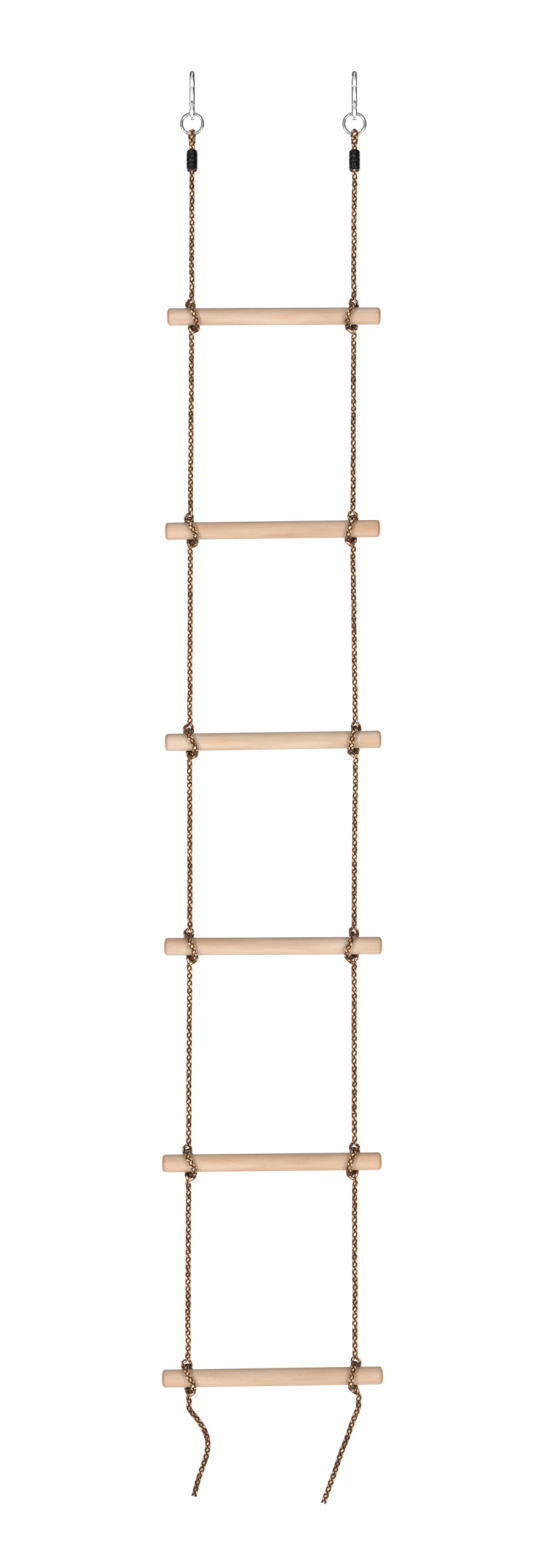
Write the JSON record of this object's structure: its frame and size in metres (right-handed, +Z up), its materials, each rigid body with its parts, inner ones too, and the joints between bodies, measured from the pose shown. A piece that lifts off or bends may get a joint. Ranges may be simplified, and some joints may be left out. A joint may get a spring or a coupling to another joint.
{
  "type": "rope ladder",
  "caption": "Hanging ladder of round wooden rungs knotted into braided side ropes, with sleeved eyes, round rings and sprung snap hooks at the top.",
  "frame": {"origin": "midway between the two snap hooks, at the height where the tops of their bends sit on what they hang from", "axes": "+Z up, along the ladder; +X across it, to the right seen from the front; the hooks' gates face -Y, the front"},
  "size_m": [0.3531, 0.0479, 2.3265],
  "materials": {
    "zinc_steel": "satin zinc plating",
    "spring_steel": "bright drawn wire",
    "ring_steel": "polished, bright plated",
    "sleeve": "glossy black, ribbed",
    "rope": "brown and cream braided polypropylene",
    "rung_wood": "smooth sanded beech, clear matt lacquer"
  },
  "bodies": {
    "hooks": {"hook_left": "zinc_steel", "hook_right": "zinc_steel", "gate_pin_left": "zinc_steel", "gate_pin_right": "zinc_steel"},
    "gate_left": {"gate_left": "zinc_steel", "gate_spring_left": "spring_steel"},
    "plunger_left": {"gate_plunger_left": "zinc_steel"},
    "gate_right": {"gate_right": "zinc_steel", "gate_spring_right": "spring_steel"},
    "plunger_right": {"gate_plunger_right": "zinc_steel"},
    "ring_left": {"ring_left": "ring_steel"},
    "ring_right": {"ring_right": "ring_steel"},
    "section_1": {"rope_left_top": "rope", "rope_right_top": "rope", "sleeve_left": "sleeve", "sleeve_right": "sleeve", "rope_left_knot_1": "rope", "rope_right_knot_1": "rope", "rung_1": "rung_wood"},
    "section_2": {"rope_left_span_2": "rope", "rope_right_span_2": "rope", "rope_left_knot_2": "rope", "rope_right_knot_2": "rope", "rung_2": "rung_wood"},
    "section_3": {"rope_left_span_3": "rope", "rope_right_span_3": "rope", "rope_left_knot_3": "rope", "rope_right_knot_3": "rope", "rung_3": "rung_wood"},
    "section_4": {"rope_left_span_4": "rope", "rope_right_span_4": "rope", "rope_left_knot_4": "rope", "rope_right_knot_4": "rope", "rung_4": "rung_wood"},
    "section_5": {"rope_left_span_5": "rope", "rope_right_span_5": "rope", "rope_left_knot_5": "rope", "rope_right_knot_5": "rope", "rung_5": "rung_wood"},
    "section_6": {"rope_left_span_6": "rope", "rope_right_span_6": "rope", "rope_left_knot_6": "rope", "rope_right_knot_6": "rope", "rung_6": "rung_wood"},
    "tail_left": {"rope_left_tail": "rope"},
    "tail_right": {"rope_right_tail": "rope"}
  },
  "joints": [
    {"name": "gate_left_hinge", "type": "hinge", "parent": "hooks", "child": "gate_left", "pos_m": [-0.134, -0.00998, -0.0515], "axis": [-1, 0, 0], "range_deg": [0, 30], "stiffness_Nm_per_rad": 0.3, "springref_deg": -11.46},
    {"name": "gate_left_plunger", "type": "slide", "parent": "gate_left", "child": "plunger_left", "axis": [0, -0.098, 0.9952], "range_m": [0, 0.0012], "deforming": ["gate_spring_left"]},
    {"name": "gate_right_hinge", "type": "hinge", "parent": "hooks", "child": "gate_right", "pos_m": [0.134, -0.00998, -0.0515], "axis": [-1, 0, 0], "range_deg": [0, 30], "stiffness_Nm_per_rad": 0.3, "springref_deg": -11.46},
    {"name": "gate_right_plunger", "type": "slide", "parent": "gate_right", "child": "plunger_right", "axis": [0, -0.098, 0.9952], "range_m": [0, 0.0012], "deforming": ["gate_spring_right"]},
    {"name": "ring_left_swing", "type": "hinge", "parent": "hooks", "child": "ring_left", "pos_m": [-0.134, 0, -0.0632], "axis": [1, 0, 0], "range_deg": [-90, 90]},
    {"name": "ring_right_swing", "type": "hinge", "parent": "hooks", "child": "ring_right", "pos_m": [0.134, 0, -0.0632], "axis": [1, 0, 0], "range_deg": [-90, 90]},
    {"name": "section_1_swing", "type": "hinge", "parent": "hooks", "child": "section_1", "pos_m": [0, 0, -0.0632], "axis": [1, 0, 0], "range_deg": [-90, 90]},
    {"name": "section_2_fold", "type": "hinge", "parent": "section_1", "child": "section_2", "pos_m": [0, 0, -0.452], "axis": [1, 0, 0], "range_deg": [-115, 115]},
    {"name": "section_3_fold", "type": "hinge", "parent": "section_2", "child": "section_3", "pos_m": [0, 0, -0.807], "axis": [-1, 0, 0], "range_deg": [-115, 115]},
    {"name": "section_4_fold", "type": "hinge", "parent": "section_3", "child": "section_4", "pos_m": [0, 0, -1.153], "axis": [1, 0, 0], "range_deg": [-115, 115]},
    {"name": "section_5_fold", "type": "hinge", "parent": "section_4", "child": "section_5", "pos_m": [0, 0, -1.485], "axis": [-1, 0, 0], "range_deg": [-115, 115]},
    {"name": "section_6_fold", "type": "hinge", "parent": "section_5", "child": "section_6", "pos_m": [0, 0, -1.83], "axis": [1, 0, 0], "range_deg": [-115, 115]},
    {"name": "tail_left_swing", "type": "hinge", "parent": "section_6", "child": "tail_left", "pos_m": [-0.135, 0, -2.168], "axis": [-1, 0, 0], "range_deg": [-120, 120]},
    {"name": "tail_right_swing", "type": "hinge", "parent": "section_6", "child": "tail_right", "pos_m": [0.13, 0, -2.168], "axis": [-1, 0, 0], "range_deg": [-120, 120]}
  ],
  "couplings": [
    {"joint": "gate_left_plunger", "follows": "gate_left_hinge", "m_per_rad": 0.0022},
    {"joint": "gate_right_plunger", "follows": "gate_right_hinge", "m_per_rad": 0.0022},
    {"joint": "ring_left_swing", "follows": "section_1_swing", "ratio": 1},
    {"joint": "ring_right_swing", "follows": "section_1_swing", "ratio": 1}
  ]
}
